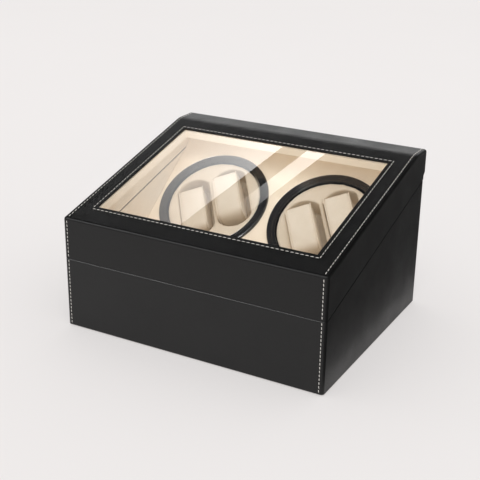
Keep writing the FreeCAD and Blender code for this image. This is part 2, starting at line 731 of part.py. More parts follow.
def make_control_plate():
    """Recessed tray with a flange outside the back wall."""
    play, flange, flange_thick = 0.3, 4, 1.2
    shell = box("tray_shell", (-BAY_HALF + play, BAY_HALF - play), (D.tray_inner, BASE_BACK + flange_thick),
                (D.bay_low + play, D.bay_high - play))
    rim = box("tray_rim", (-BAY_HALF - flange, BAY_HALF + flange), (BASE_BACK, BASE_BACK + flange_thick),
              (D.bay_low - flange, D.bay_high + flange))
    inset = D.tray_wall + play
    hollow = box("tray_hollow", (-BAY_HALF + inset, BAY_HALF - inset), (D.tray_face, BACK),
                 (D.bay_low + inset, D.bay_high - inset))
    switch = switch_block("tray_switch_hole", 0.1, D.tray_inner - 1, D.tray_face + 1)
    holes = [facing_back(cylinder(f"tray_{name}_hole", radius, 0, 4), x, D.tray_inner - 1, D.control_z)
             for name, radius, x in (("knob_left", 3.3, D.knob_left_x),
                                     ("knob_right", 3.3, D.knob_right_x), ("jack", 4.1, D.jack_x))]
    solid = fuse("tray_solid", shell, rim)
    node(cut("rear_control_plate", solid, hollow, switch, *holes), "rear_control_plate")


def switch_block(name, grown, low_y, high_y, width=D.switch_width, height=D.switch_height):
    half_x, half_z = width / 2 + grown, height / 2 + grown
    return box(name, (D.switch_x - half_x, D.switch_x + half_x), (low_y, high_y),
               (D.control_z - half_z, D.control_z + half_z))


def make_power_switch():
    bezel, rocker_room = 1.4, 6.5
    body = switch_block("switch_body", 0, D.board_y + D.circuit_board, D.tray_face)
    face = switch_block("switch_bezel", 1, D.tray_face, D.tray_face + bezel)
    hollow = switch_block("switch_hollow", -1, D.rocker_y - rocker_room, D.tray_face + bezel + 1)
    node(cut("power_switch_housing", fuse("switch_solid", body, face), hollow),
         "power_switch_housing")
    make_rocker()


def make_rocker():
    """Rocker with round ends about its pivot and a shallow valley across its face."""
    half_height, half_width, valley, heel = 7, 5.2, 1.1, -2.5
    beyond = D.rocker_radius + 1
    end = root(D.rocker_radius * D.rocker_radius - half_height * half_height)
    outline = [(heel, -beyond), (heel, beyond), (end, beyond), (end, half_height), (end - valley, 0),
               (end, -half_height), (end, -beyond)]
    wedge = slab("rocker_wedge", outline, half_width)
    barrel = rod_along_x("rocker_barrel", D.rocker_radius, -half_width - 1, half_width + 1)
    rocker = doc.addObject("Part::Common", "power_rocker")
    rocker.Base = wedge
    rocker.Tool = barrel
    node(place(rocker, D.switch_x, D.rocker_y, D.control_z, X_AXIS, -D.rocker_tilt), "power_rocker")


SPINDLE_LENGTH = 13


def make_mode_knob(name, x):
    """Fluted selector knob moulded on its spindle."""
    radius, low, high, chamfer = 7.5, 0.8, 5.6, 0.8
    spindle, flute_radius, flutes = 3, 1, 16
    outline = [(0, -SPINDLE_LENGTH), (spindle, -SPINDLE_LENGTH), (spindle, low), (radius, low),
               (radius, high - chamfer), (radius - chamfer, high), (0, high)]
    knob = turned(f"mode_knob_{name}", outline)
    sketch = new_sketch(knob, "XY_Plane", f"flute_outline_{name}")
    sketch.addGeometry(Part.Circle(Vector(radius + 0.4 * flute_radius, 0, 0), Z_AXIS, flute_radius), False)
    doc.recompute()
    flute = knob.newObject("PartDesign::Pocket", f"flute_{name}")
    flute.Profile = sketch
    flute.Reversed = True
    flute.Length = high + 1
    doc.recompute()
    plain = knob.Tip.Shape.Volume
    pattern = knob.newObject("PartDesign::PolarPattern", f"flutes_{name}")
    pattern.Originals = [flute]
    pattern.Axis = (sketch, ["N_Axis"])
    pattern.Angle = 360
    pattern.Occurrences = flutes
    knob.Tip = pattern
    doc.recompute()
    if not knob.Shape.Volume < plain - 1:
        raise RuntimeError(f"the flutes of mode knob {name} cut nothing")
    node(facing_back(knob, x, D.tray_face, D.control_z), f"mode_knob_{name}")


def make_dc_jack():
    """Round power inlet: outer shell with a centre pin in its bore."""
    rear = D.board_y + D.circuit_board - D.tray_face
    outline = [(0, rear), (5.5, rear), (5.5, -2), (4, -2), (4, 0), (6.5, 0), (6.5, 2), (2.9, 2),
               (2.9, -10), (1, -10), (1, 0.5), (0, 0.5)]
    node(facing_back(turned("dc_jack", outline), D.jack_x, D.tray_face, D.control_z), "dc_jack")


def make_selector(name, x):
    """Rotary selector soldered to the board, with the bore that the knob's spindle turns in."""
    front = D.board_y + D.circuit_board
    half, thick, bush_radius, bore_radius, play = 6.5, 7.4, 4.5, 3.05, 0.2
    body = box(f"selector_box_{name}", (x - half, x + half), (front, front + thick),
               (D.control_z - half, D.control_z + half))
    length = D.tray_inner - front - play
    bush = facing_back(cylinder(f"selector_bush_{name}", bush_radius, 0, length), x, front, D.control_z)
    bore = facing_back(cylinder(f"selector_bore_{name}", bore_radius, 0, length), x,
                       D.tray_face - SPINDLE_LENGTH - play, D.control_z)
    return cut(f"selector_{name}", fuse(f"selector_solid_{name}", body, bush), bore)


PLUG_X, PLUG_DEPTH = 20, 6


def make_control_board():
    edge, plug_half = 4, 4
    low, high = D.bay_low + edge, D.bay_high - edge
    inner, outer = D.board_y, D.board_y + D.circuit_board
    node(box("control_board", (-BAY_HALF + edge, BAY_HALF - edge), (inner, outer), (low, high)),
         "control_board")
    chip = box("chip", (-8, 6), (inner - 2.4, inner), (D.control_z - 1, D.control_z + 6))
    capacitor_radius, capacitor_length, capacitor_x = 4, 9, 30
    tank = place(cylinder("capacitor", capacitor_radius, 0, capacitor_length), capacitor_x, inner,
                 D.control_z, X_AXIS, 90)
    plugs = [box(f"lead_connector_{name}", (sign * PLUG_X - plug_half, sign * PLUG_X + plug_half),
                 (inner - PLUG_DEPTH, inner), (low + 1, low + 1 + PLUG_DEPTH))
             for name, sign in SIDES.items()]
    selectors = [make_selector("left", D.knob_left_x), make_selector("right", D.knob_right_x)]
    node(group("board_components", chip, tank, *plugs, *selectors), "board_components")


def rounded_path(points):
    """Straight runs joined by tangent arcs, each as large as its two runs allow."""
    edges = []
    start = points[0]
    for before, corner, after in zip(points, points[1:], points[2:]):
        inward, onward = (corner - before), (after - corner)
        reach = 0.45 * min(inward.Length, onward.Length)
        first = corner - inward.normalize() * reach
        last = corner + onward.normalize() * reach
        half = inward.getAngle(onward) / 2
        radius = reach / math.tan(half)
        middle = corner + (onward - inward).normalize() * radius * (1 / math.cos(half) - 1)
        edges.append(Part.LineSegment(start, first).toShape())
        edges.append(Part.Arc(first, middle, last).toShape())
        start = last
    edges.append(Part.LineSegment(start, points[-1]).toShape())
    return Part.Wire(edges)


def make_motor_leads():
    """Twin flex from each motor's terminals to its connector on the board."""
    radius = 1.2
    tilt = math.radians(D.deck_tilt.value)
    rear = D.motor_back.value - TAB_LENGTH
    start_y = D.deck_y.value + D.motor_drop.value * math.cos(tilt) - rear * math.sin(tilt)
    start_z = D.deck_z.value + D.motor_drop.value * math.sin(tilt) + rear * math.cos(tilt)
    plug_z = D.bay_low.value + 8
    plug_y = D.board_y.value - PLUG_DEPTH
    leads = []
    for name, sign in SIDES.items():
        x = sign * (D.turntable_x.value - D.motor_offset.value)
        points = [Vector(x, start_y, start_z), Vector(x, start_y + 4, start_z - 7),
                  Vector(sign * PLUG_X, plug_y - 7, plug_z), Vector(sign * PLUG_X, plug_y, plug_z)]
        path = rounded_path(points)
        section = Part.Wire(Part.Circle(points[0], points[1] - points[0], radius).toShape())
        lead = doc.addObject("Part::Feature", f"motor_lead_{name}")
        lead.Shape = path.makePipeShell([section], True, False)
        leads.append(lead)
    node(group("motor_leads", *leads), "motor_leads")


# ---------------------------------------------------------------- lid


def in_window(thing):
    """Moves an object made on z = 0 onto the sloping top, with y = 0 at the window's front edge."""
    start = FRONT + D.window_front
    return place(thing, 0, start, lid_line(start, 0), X_AXIS, TOP_ANGLE)


def window_block(name, grown, low, high=10):
    """A block the size of the window, grown sideways, between two levels under the surface."""
    half = D.window_width / 2 + grown
    block = box(name, (-half, half), (-size(grown), D.window_length + grown), (low, high))
    return in_window(group(name + "_placed", block))


def make_lid_boards():
    front = [(CORE_FRONT, lid_bottom(CORE_FRONT, D.skin)), (CORE_FRONT, lid_line(CORE_FRONT, TOP_UNDER)),
             (ROOM_FRONT, lid_line(ROOM_FRONT, TOP_UNDER)), (ROOM_FRONT, lid_bottom(ROOM_FRONT, D.skin))]
    node(slab("lid_front_panel", front, ROOM_HALF), "lid_front_panel")
    outline = lid_back_outline()
    node(slab("lid_back_panel", outline, ROOM_HALF), "lid_back_panel")
    side = hull_outline(D.skin, D.skin)
    side[1] = (CORE_FRONT, lid_line(CORE_FRONT, TOP_UNDER))
    side[2] = bend_point(TOP_UNDER)
    side[3] = (BACK - D.skin, D.total_height - TOP_UNDER)
    for name, sign in SIDES.items():
        make_side_panel(f"lid_side_panel_{name}", side, sign)


def lid_back_outline():
    lip = hull_outline(D.skin, D.skin)[4:]
    return [(ROOM_BACK, lid_bottom(ROOM_BACK, D.skin)), (ROOM_BACK, D.total_height - TOP_UNDER),
            (BACK - D.skin, D.total_height - TOP_UNDER)] + lip


def above_top(point, half_width):
    """True on the outer surface of the top, whose level depends on how far the body is inset."""
    inset = HALF_WIDTH.value - half_width
    slope_level = lid_line(size(point.y), inset).value
    return point.z > min(slope_level, D.total_height.value - inset) - 1.5


def round_top(body, half_width, inset):
    """Rounds the bend, the upright corners and then the whole edge around the top."""
    bend_y, bend_z = (part.value for part in bend_point(inset))
    round_edges(body, D.bend_radius - inset, lambda edge: is_crosswise(edge, bend_y, bend_z))
    round_edges(body, D.corner_radius - inset, lambda edge: is_upright(edge)
                and abs(edge_box(edge).YMin) > (BACK - inset).value - 0.01)
    front = (FRONT + inset).value, lid_line(FRONT + inset, inset).value
    back = (BACK - inset).value, (D.total_height - inset).value
    round_edges(body, D.corner_radius - inset,
                lambda edge: top_edge(edge, half_width.value, size(inset).value, front, back))
    return body


def top_edge(edge, half_width, inset, front, back):
    """The loop of edges around the outer surface of the top, corner arcs included."""
    ends = edge_box(edge)
    if is_upright(edge):
        return False
    middle = edge.valueAt((edge.FirstParameter + edge.LastParameter) / 2)
    if is_crosswise(edge, *front) or is_crosswise(edge, *back):
        return True
    corner = D.corner_radius.value
    outside = abs(middle.x) > half_width - corner + 0.1 and ends.XLength < corner + 0.1
    return outside and above_top(middle, HALF_WIDTH.value - inset)


def make_lid_top():
    outline = [(CORE_FRONT, lid_line(CORE_FRONT, D.skin)), bend_point(D.skin),
               (BACK - D.skin, D.total_height - D.skin), (BACK - D.skin, D.total_height - TOP_UNDER),
               bend_point(TOP_UNDER), (CORE_FRONT, lid_line(CORE_FRONT, TOP_UNDER))]
    blank = slab("lid_top_blank", outline, CORE_HALF)
    round_top(blank, CORE_HALF, D.skin)
    play = 0.1
    window = window_block("top_window", D.collar - D.retainer_inset + play, -THROUGH_TOP)
    rebate = window_block("top_rebate", D.glass_overlap + play, -GLASS_UNDER)
    node(cut("lid_top_panel", blank, window, rebate), "lid_top_panel")


def make_lid_cover():
    """Leather over the lid, turned in at the lower rim and lapped over the edge of the glass."""
    outer = slab("lid_cover_outside", hull_outline(0, 0), HALF_WIDTH)
    round_top(outer, HALF_WIDTH, 0)
    inner = slab("lid_cover_inside", hull_outline(D.skin, D.skin), CORE_HALF)
    round_top(inner, CORE_HALF, D.skin)
    room = slab("lid_cover_room", room_outline(ROOM_FRONT, ROOM_BACK, TOP_UNDER, -5), ROOM_HALF)
    mortises = [hinge_mortise(f"lid_mortise_{name}", sign, 1) for name, sign in SIDES.items()]
    window = window_block("cover_window", 0, -THROUGH_TOP)
    node(cut("lid_leather_cover", outer, inner, room, window, *mortises), "lid_leather_cover")


def make_lid_lining():
    under, beyond = TOP_UNDER + D.retainer, 5
    outer = slab("lid_lining_outside", room_outline(ROOM_FRONT, ROOM_BACK, under, D.lining_margin),
                 ROOM_HALF)
    inner = slab("lid_lining_inside",
                 room_outline(INNER_FRONT, INNER_BACK, under - beyond, -beyond), INNER_HALF)
    node(cut("lid_lining", outer, inner), "lid_lining")


def make_glazing():
    """The pane lies in the top board's rebate, on the collar of the lined frame under the board."""
    node(window_block("glass_pane", D.glass_overlap, -GLASS_UNDER, -D.skin), "glass_pane")
    under = TOP_UNDER + D.retainer
    outline = [(ROOM_FRONT, lid_line(ROOM_FRONT, TOP_UNDER)), bend_point(TOP_UNDER),
               (ROOM_BACK, D.total_height - TOP_UNDER), (ROOM_BACK, D.total_height - under),
               bend_point(under), (ROOM_FRONT, lid_line(ROOM_FRONT, under))]
    plate = slab("retainer_plate", outline, ROOM_HALF)
    collar = window_block("retainer_collar", D.collar - D.retainer_inset, -TOP_UNDER - 1, -GLASS_UNDER)
    opening = window_block("retainer_window", -D.retainer_inset, -THROUGH_TOP)
    node(cut("glass_retainer", fuse("retainer_solid", plate, collar), opening), "glass_retainer")


# ---------------------------------------------------------------- hinges

SEAM_ANGLE = arc_tangent(D.seam_rise)
PIN_Z = base_top(D.hinge_pin_y) + D.seam_gap / 2
HALF_GAP = D.seam_gap / 2 * cosine(SEAM_ANGLE)
KNUCKLES = 5


def at_hinge(thing, sign):
    """Moves an object made about the pin onto the seam at the back of the box."""
    return place(thing, sign * D.hinge_x, D.hinge_pin_y, PIN_Z, X_AXIS, SEAM_ANGLE)


def hinge_mortise(name, sign, face):
    """Room for one leaf in the turned-in leather, above (face 1) or below (face -1) the seam."""
    half = D.hinge_length / 2 + 0.3
    near_level, far_level = HALF_GAP - 0.2, HALF_GAP + D.leaf + 0.02
    levels = (near_level, far_level) if face > 0 else (-far_level, -near_level)
    slot = box(name + "_slot", (-half, half), (-D.leaf_depth - 0.3, 3), levels)
    return at_hinge(group(name, slot), sign)


def rod_along_x(name, radius, low, high):
    """A cylinder about the X axis between two places."""
    rod = doc.addObject("Part::Cylinder", name)
    bind(rod, "Radius", radius)
    bind(rod, "Height", size(high) - low)
    return place(rod, low, 0, 0, Y_AXIS, 90)


def hinge_leaf(name, face, sign):
    """Flat leaf with its knuckles: the odd ones on the base leaf, the even ones on the lid leaf."""
    half = D.hinge_length / 2
    levels = (HALF_GAP, HALF_GAP + D.leaf) if face > 0 else (-HALF_GAP - D.leaf, -HALF_GAP)
    plate = box(name + "_plate", (-half, half), (-D.leaf_depth, -D.pin_radius), levels)
    pitch = D.hinge_length / KNUCKLES
    solids, gaps = [plate], []
    for number in range(KNUCKLES):
        low, high = -half + pitch * number, -half + pitch * (number + 1)
        own = number % 2 == (0 if face < 0 else 1)
        if own:
            play_low = D.knuckle_play / 2 if number else 0
            play_high = D.knuckle_play / 2 if number < KNUCKLES - 1 else 0
            solids.append(rod_along_x(f"{name}_knuckle_{number}", D.knuckle_radius,
                                      low + play_low, high - play_high))
        else:
            gaps.append(rod_along_x(f"{name}_gap_{number}", D.knuckle_radius + D.knuckle_play,
                                    low - D.knuckle_play / 2, high + D.knuckle_play / 2))
    bore = rod_along_x(name + "_bore", D.pin_radius + D.running_play, -half - 1, half + 1)
    leaf = cut(name, fuse(name + "_solid", *solids), bore, *gaps)
    return at_hinge(leaf, sign)


def make_hinges():
    for kind, face in (("base", -1), ("lid", 1)):
        leaves = [hinge_leaf(f"{kind}_leaf_{name}", face, sign) for name, sign in SIDES.items()]
        node(group(f"hinge_{kind}_leaves", *leaves), f"hinge_{kind}_leaves")
    half = D.hinge_length / 2
    pins = [at_hinge(group(f"hinge_pin_{name}", rod_along_x(f"pin_{name}", D.pin_radius, -half, half)), sign)
            for name, sign in SIDES.items()]
    node(group("hinge_pins", *pins), "hinge_pins")


# ---------------------------------------------------------------- build, check and write


def make_everything():
    write_sheet()
    make_base_boards()
    make_base_cover()
    make_base_lining()
    make_storage_row()
    make_deck()
    for name, sign in SIDES.items():
        make_bezel_ring(name, sign)
        make_cup(name, sign)
        make_pocket_block(name, sign)
        make_winder_pillows(name, sign)
        make_axle_screw(name, sign)
        make_drive_plate(name, sign)
        make_motor(name, sign)
        make_motor_pulley(name, sign)
    make_axle_bushes()
    make_drive_plate_screws()
    make_drive_belts()
    make_control_board()
    make_control_plate()
    make_power_switch()
    make_mode_knob("left", D.knob_left_x)
    make_mode_knob("right", D.knob_right_x)
    make_dc_jack()
    make_motor_leads()
    make_lid_boards()
    make_lid_top()
    make_lid_cover()
    make_lid_lining()
    make_glazing()
    make_hinges()
    doc.recompute()


def check_everything():
    for item in doc.Objects:
        if "Invalid" in item.State or "Error" in item.State:
            raise RuntimeError(f"{item.Name} failed: {item.State}")
    for name, item in nodes.items():
        shape = item.Shape
        if shape.isNull() or not shape.isValid() or not shape.Solids:
            raise RuntimeError(f"{name} has no valid solid")


def write_parts():
    os.makedirs("parts", exist_ok=True)
    for old in os.listdir("parts"):
        os.remove(os.path.join("parts", old))
    for name, item in nodes.items():
        item.Shape.exportStep(f"parts/{name}.step")


make_everything()
check_everything()
write_parts()
print(len(nodes), "sub-parts written")
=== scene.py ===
import json
import math
import random

import bmesh
import bpy
from mathutils import Matrix, Vector, noise


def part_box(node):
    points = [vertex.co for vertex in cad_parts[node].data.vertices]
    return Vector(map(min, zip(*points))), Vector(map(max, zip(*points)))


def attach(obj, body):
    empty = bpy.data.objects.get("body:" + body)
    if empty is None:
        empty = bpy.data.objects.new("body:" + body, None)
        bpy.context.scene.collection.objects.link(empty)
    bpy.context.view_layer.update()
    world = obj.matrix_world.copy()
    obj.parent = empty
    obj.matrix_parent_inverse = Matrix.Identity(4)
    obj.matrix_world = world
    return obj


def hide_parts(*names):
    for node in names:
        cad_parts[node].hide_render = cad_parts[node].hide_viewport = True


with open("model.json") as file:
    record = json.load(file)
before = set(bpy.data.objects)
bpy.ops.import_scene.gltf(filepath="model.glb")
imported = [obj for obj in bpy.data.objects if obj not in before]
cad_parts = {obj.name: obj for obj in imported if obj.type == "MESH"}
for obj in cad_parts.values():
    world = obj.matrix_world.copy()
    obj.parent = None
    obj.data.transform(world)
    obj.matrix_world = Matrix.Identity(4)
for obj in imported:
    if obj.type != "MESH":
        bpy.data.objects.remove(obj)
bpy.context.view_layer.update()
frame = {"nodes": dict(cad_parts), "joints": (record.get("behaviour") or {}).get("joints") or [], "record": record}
NODES = frame["nodes"]
MM = 0.001
SIDES = {"left": -1, "right": 1}


# ---------------------------------------------------------------- procedural finishes

class Finish:
    """A procedural material, put together node by node around one Principled shader."""

    def __init__(self, name, **settings):
        self.material = bpy.data.materials.new(name)
        self.material.use_nodes = True
        self.tree = self.material.node_tree
        self.tree.nodes.clear()
        self.output = self.tree.nodes.new("ShaderNodeOutputMaterial")
        self.shader = self.tree.nodes.new("ShaderNodeBsdfPrincipled")
        self.tree.links.new(self.shader.outputs["BSDF"], self.output.inputs["Surface"])
        self.place = self.tree.nodes.new("ShaderNodeTexCoord").outputs["Object"]
        self.set(**settings)

    def set(self, **settings):
        for name, value in settings.items():
            self.feed(self.shader.inputs[name.replace("_", " ")], value)
        return self

    def feed(self, socket, value):
        if isinstance(value, bpy.types.NodeSocket):
            self.tree.links.new(value, socket)
        elif isinstance(value, tuple) and len(value) == 3 and socket.type == "RGBA":
            socket.default_value = (*value, 1)
        else:
            socket.default_value = value

    def noise(self, scale, detail=3, roughness=0.55, stretch=None, distortion=0):
        node = self.tree.nodes.new("ShaderNodeTexNoise")
        self.feed(node.inputs["Vector"], self.stretched(stretch))
        node.inputs["Scale"].default_value = scale
        node.inputs["Detail"].default_value = detail
        node.inputs["Roughness"].default_value = roughness
        node.inputs["Distortion"].default_value = distortion
        return node.outputs["Fac"]

    def cells(self, scale, stretch=None):
        node = self.tree.nodes.new("ShaderNodeTexVoronoi")
        node.feature = "DISTANCE_TO_EDGE"
        self.feed(node.inputs["Vector"], self.stretched(stretch))
        node.inputs["Scale"].default_value = scale
        return node.outputs["Distance"]

    def stretched(self, stretch):
        if stretch is None:
            return self.place
        node = self.tree.nodes.new("ShaderNodeMapping")
        self.feed(node.inputs["Vector"], self.place)
        node.inputs["Scale"].default_value = stretch
        return node.outputs["Vector"]

    def axes(self):
        node = self.tree.nodes.new("ShaderNodeSeparateXYZ")
        self.feed(node.inputs["Vector"], self.place)
        return node.outputs

    def math(self, operation, first, second):
        node = self.tree.nodes.new("ShaderNodeMath")
        node.operation = operation
        for socket, value in zip(node.inputs, (first, second)):
            self.feed(socket, value)
        return node.outputs["Value"]

    def remap(self, value, low, high, to_low=0.0, to_high=1.0):
        node = self.tree.nodes.new("ShaderNodeMapRange")
        self.feed(node.inputs["Value"], value)
        for name, number in (("From Min", low), ("From Max", high), ("To Min", to_low), ("To Max", to_high)):
            self.feed(node.inputs[name], number)
        return node.outputs["Result"]

    def mix(self, factor, first, second):
        node = self.tree.nodes.new("ShaderNodeMix")
        node.data_type = "RGBA"
        self.feed(node.inputs["Factor"], factor)
        self.feed(node.inputs[6], first)
        self.feed(node.inputs[7], second)
        return node.outputs[2]

    def bump(self, *layers):
        """layers are (height, depth in millimetres) pairs, the broadest first."""
        normal = None
        for height, depth in layers:
            node = self.tree.nodes.new("ShaderNodeBump")
            node.inputs["Strength"].default_value = 1
            node.inputs["Distance"].default_value = depth * MM
            self.feed(node.inputs["Height"], height)
            if normal is not None:
                self.feed(node.inputs["Normal"], normal)
            normal = node.outputs["Normal"]
        return self.set(Normal=normal)


def leather():
    """Black coated leather: fine pebble grain, faint clouding, dull valleys."""
    look = Finish("black_leather_look")
    pebbles = look.remap(look.cells(880), 0.0, 0.32)
    fine = look.noise(3100, 2)
    broad = look.noise(26, 4)
    colour = look.mix(pebbles, (0.0014, 0.0014, 0.0015), (0.0042, 0.0042, 0.0044))
    worn = look.remap(broad, 0.35, 0.75)
    colour = look.mix(look.math("MULTIPLY", worn, 0.35), colour, (0.0075, 0.0074, 0.0072))
    shine = look.remap(broad, 0.3, 0.7, 0.40, 0.50)
    look.set(Base_Color=colour, Roughness=look.math("SUBTRACT", shine, look.math("MULTIPLY", pebbles, 0.07)),
             Specular_IOR_Level=0.38)
    return look.bump((broad, 0.25), (pebbles, 0.035), (fine, 0.012)).material


def cloth(name, pale, deep, nap, roughness=0.88):
    """Short-pile cream cloth: mottled where the nap lies differently, with a soft sheen."""
    look = Finish(name)
    clouds = look.noise(55, 4)
    pile = look.noise(nap, 3, 0.7)
    colour = look.mix(look.remap(clouds, 0.3, 0.72), deep, pale)
    colour = look.mix(look.math("MULTIPLY", look.remap(pile, 0.3, 0.7), 0.25), colour, deep)
    look.set(Base_Color=colour, Roughness=look.remap(clouds, 0.3, 0.7, roughness - 0.06, roughness + 0.06),
             Specular_IOR_Level=0.2, Sheen_Weight=0.25, Sheen_Roughness=0.4, Sheen_Tint=(1, 0.93, 0.84, 1))
    return look.bump((clouds, 0.12), (pile, 0.05)).material


def moulded(name, colour, roughness, texture=0.02, worn=None, scale=900):
    """Moulded plastic or painted part with a fine eggshell texture and slight colour change."""
    look = Finish(name)
    texture_height = look.noise(scale, 3)
    clouds = look.noise(70, 3)
    lighter = worn or tuple(min(1, part * 1.35 + 0.004) for part in colour)
    look.set(Base_Color=look.mix(look.remap(clouds, 0.35, 0.75), colour, lighter),
             Roughness=look.remap(clouds, 0.3, 0.7, roughness - 0.04, roughness + 0.07))
    return look.bump((texture_height, texture)).material


def metal(name, colour, roughness=0.3):
    """Machined or plated metal with fine drawn lines."""
    look = Finish(name, Metallic=1.0)
    lines = look.noise(700, 3, stretch=(1, 1, 12))
    stains = look.noise(90, 4)
    darker = tuple(part * 0.78 for part in colour)
    look.set(Base_Color=look.mix(look.remap(stains, 0.3, 0.75), colour, darker),
             Roughness=look.remap(lines, 0.3, 0.7, roughness - 0.08, roughness + 0.12))
    return look.bump((lines, 0.008)).material


def board():
    """Raw fibreboard with pressed fibres."""
    look = Finish("fibreboard_look", Roughness=0.85)
    fibres = look.noise(600, 5, 0.7, stretch=(1, 1, 3))
    clouds = look.noise(40, 3)
    look.set(Base_Color=look.mix(look.remap(fibres, 0.3, 0.7), (0.22, 0.135, 0.07), (0.36, 0.245, 0.14)))
    return look.bump((fibres, 0.05), (clouds, 0.1)).material


def felt():
    look = Finish("black_felt_look", Roughness=0.97, Sheen_Weight=0.3)
    fibres = look.noise(1900, 5, 0.8, distortion=1.5)
    look.set(Base_Color=look.mix(look.remap(fibres, 0.3, 0.7), (0.006, 0.006, 0.007), (0.028, 0.028, 0.03)))
    return look.bump((fibres, 0.25)).material


def lacquer():
    """Polished black lacquered plastic, with dust and hairline scratches in its gloss."""
    look = Finish("gloss_black_look", Specular_IOR_Level=0.5, Coat_Weight=0.6, Coat_Roughness=0.05)
    dust = look.noise(1500, 4, 0.8)
    swirl = look.noise(60, 3)
    look.set(Base_Color=look.mix(look.remap(dust, 0.6, 0.8), (0.0045, 0.0045, 0.005), (0.016, 0.016, 0.016)),
             Roughness=look.remap(swirl, 0.3, 0.7, 0.12, 0.24))
    return look.bump((swirl, 0.05)).material


def circuit():
    look = Finish("circuit_board_look", Roughness=0.4)
    tracks = look.cells(260, stretch=(1, 0.05, 1))
    look.set(Base_Color=look.mix(look.remap(tracks, 0.02, 0.06), (0.025, 0.16, 0.05), (0.008, 0.07, 0.022)))
    return look.bump((tracks, 0.02)).material


def glass():
    """Clear glass that lets the lamps reach what lies under it."""
    look = Finish("clear_glass_look", Base_Color=(0.985, 0.992, 0.988), Transmission_Weight=1.0, IOR=1.5)
    smudges = look.noise(35, 5, 0.65)
    look.set(Roughness=look.remap(smudges, 0.55, 0.85, 0.0, 0.03))
    open_way = look.tree.nodes.new("ShaderNodeBsdfTransparent")
    rays = look.tree.nodes.new("ShaderNodeLightPath").outputs
    passing = look.math("MAXIMUM", rays["Is Shadow Ray"], rays["Is Diffuse Ray"])
    blend = look.tree.nodes.new("ShaderNodeMixShader")
    look.feed(blend.inputs[0], passing)
    look.tree.links.new(look.shader.outputs["BSDF"], blend.inputs[1])
    look.tree.links.new(open_way.outputs["BSDF"], blend.inputs[2])
    look.tree.links.new(blend.outputs["Shader"], look.output.inputs["Surface"])
    return look.material


LOOKS = {
    "black_leather": leather(),
    "cream_lining": cloth("cream_lining_look", (0.87, 0.77, 0.64), (0.79, 0.68, 0.545), nap=2400),
    "cream_deck": cloth("cream_deck_look", (0.87, 0.76, 0.62), (0.80, 0.685, 0.54), nap=1800, roughness=0.7),
    "cream_pillow": cloth("cream_pillow_look", (0.91, 0.81, 0.68), (0.84, 0.73, 0.59), nap=2600),
    "case_board": board(),
    "black_felt": felt(),
    "gloss_black": lacquer(),
    "cup_plastic": moulded("cup_plastic_look", (0.012, 0.012, 0.013), 0.4),
    "drive_plastic": moulded("drive_plastic_look", (0.03, 0.03, 0.032), 0.5),
    "pulley_plastic": moulded("pulley_plastic_look", (0.75, 0.74, 0.70), 0.4),
    "belt_rubber": moulded("belt_rubber_look", (0.012, 0.012, 0.012), 0.75, 0.04),
    "steel": metal("steel_look", (0.62, 0.62, 0.63)),
    "bush_brass": metal("bush_brass_look", (0.72, 0.52, 0.24)),
    "motor_steel": metal("motor_steel_look", (0.55, 0.55, 0.56), 0.38),
    "circuit_board": circuit(),
    "component_black": moulded("component_look", (0.015, 0.015, 0.016), 0.45),
    "control_plastic": moulded("control_plastic_look", (0.014, 0.014, 0.015), 0.42),
    "lead_black": moulded("lead_look", (0.012, 0.012, 0.013), 0.5),
    "clear_glass": glass(),
    "thread": moulded("thread_look", (0.66, 0.64, 0.60), 0.7, 0.06, (0.78, 0.76, 0.72), 2600),
}


def dress_frame():
    """Gives every CAD node the procedural finish of its own material slot."""
    slots = {entry["node"]: entry["material_slot"] for entry in frame["record"]["subparts"]}
    for name, piece in NODES.items():
        for slot in piece.material_slots:
            slot.material = LOOKS[slots[name]]


dress_frame()


# ---------------------------------------------------------------- places on the box

SPINS = {joint["name"]: joint for joint in frame["joints"]}
DECK_TILT = math.radians(37)
DECK = {name: (Matrix.Translation(SPINS[f"turntable_{name}_spin"]["pos_m"])
               @ Matrix.Rotation(DECK_TILT, 4, "X")) for name in SIDES}
POCKET_TURN = math.radians(32)
POCKET_ASIDE, POCKET_HALF, POCKET_END, POCKET_REACH = 24 * MM, 21.3 * MM, 25 * MM, 44.91 * MM
POCKET_DEPTH = 26.5 * MM
PILLOW_ASIDE, PILLOW_DOWN = -3.4 * MM, -0.6 * MM
BLOCK_RADIUS = 61.5 * MM

# The lid's outside and its seams, in millimetres, as the stitches are laid out.
FRONT_Y, BACK_Y, LID_TOP, LID_FRONT_TOP = -140, 140, 200, 137.2
BEND_RADIUS, BEND_Y = 35, 108
TOP_ANGLE = math.atan2(LID_TOP - LID_FRONT_TOP, BEND_Y - FRONT_Y)
SEAM_END = 3
TOP_SEAM_X, FRONT_SEAM_X = 161.8, 162.2
FRONT_PITCH, FRONT_LENGTH = 4.6, 3.4

# The two selectors on the back, in millimetres.
KNOB_X = {"left": -6, "right": 16}
KNOB_Z, PLATE_Y, KNOB_FACE_Y = 37, 131, 136.6


def linked(name, mesh, look, body):
    """A shown piece made of the mesh, which moves with the body."""
    piece = bpy.data.objects.new(name, mesh)
    mesh.materials.append(LOOKS[look])
    bpy.context.scene.collection.objects.link(piece)
    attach(piece, body)
    return piece


def smooth(mesh):
    mesh.polygons.foreach_set("use_smooth", [True] * len(mesh.polygons))
    return mesh


# ---------------------------------------------------------------- watch pillows

